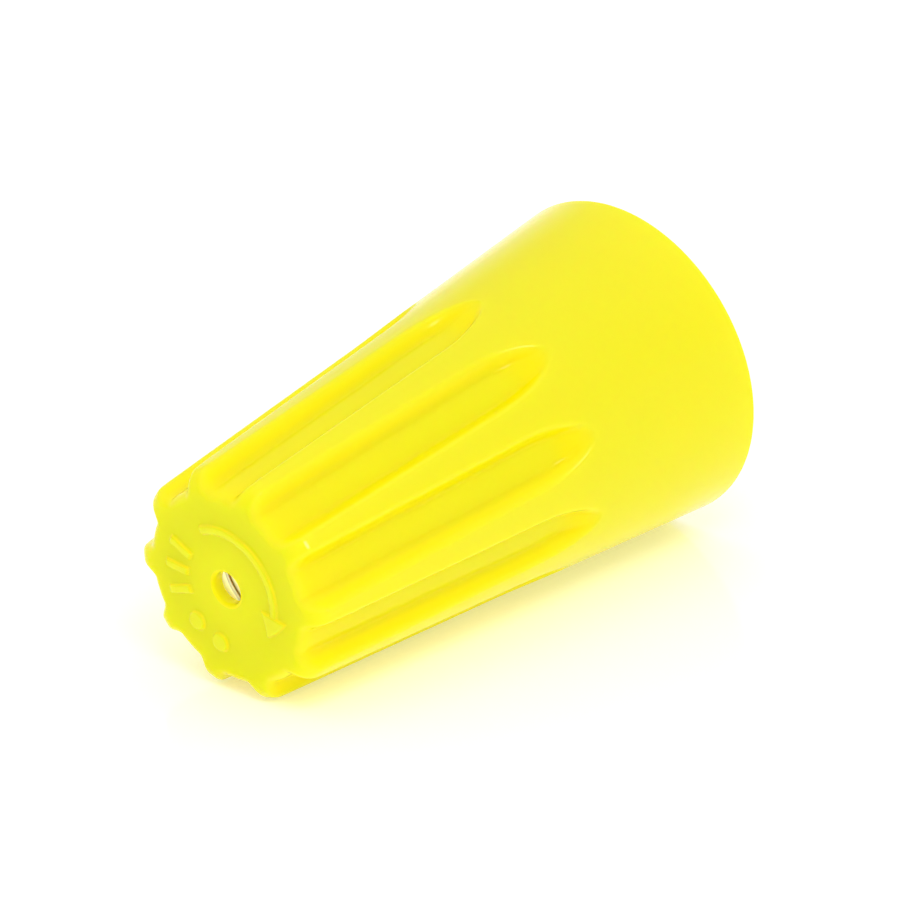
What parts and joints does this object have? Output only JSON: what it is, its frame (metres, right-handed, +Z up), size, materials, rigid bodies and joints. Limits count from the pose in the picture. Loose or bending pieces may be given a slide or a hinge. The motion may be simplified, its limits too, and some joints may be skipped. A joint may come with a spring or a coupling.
{
  "type": "twist wire connector",
  "caption": "Screw-on wire connector: ribbed conical plastic cap with a flared skirt, holding a conical coil of square steel wire that grips twisted conductors.",
  "frame": {"origin": "centre of the bounding box in plan, on the surface that the connector lies on", "axes": "+X along the length from the closed end to the mouth, +Z up, +Y to the side; the connector lies on its side, so its own axis rises by about 5 degrees towards the mouth"},
  "size_m": [0.0264, 0.0146, 0.0145],
  "materials": {
    "cap_plastic": "moulded polypropylene, semi-gloss, slightly translucent, bright yellow",
    "spring_steel": "zinc-plated drawn square wire"
  },
  "bodies": {
    "cap": {"shell": "cap_plastic"},
    "coil": {"spring": "spring_steel"}
  },
  "joints": [
    {"name": "spring_turn", "type": "hinge", "parent": "cap", "child": "coil", "pos_m": [-0.00485, 0, 0.00577], "axis": [0.9962, 0, 0.0865], "range_deg": [-6, 6]}
  ]
}
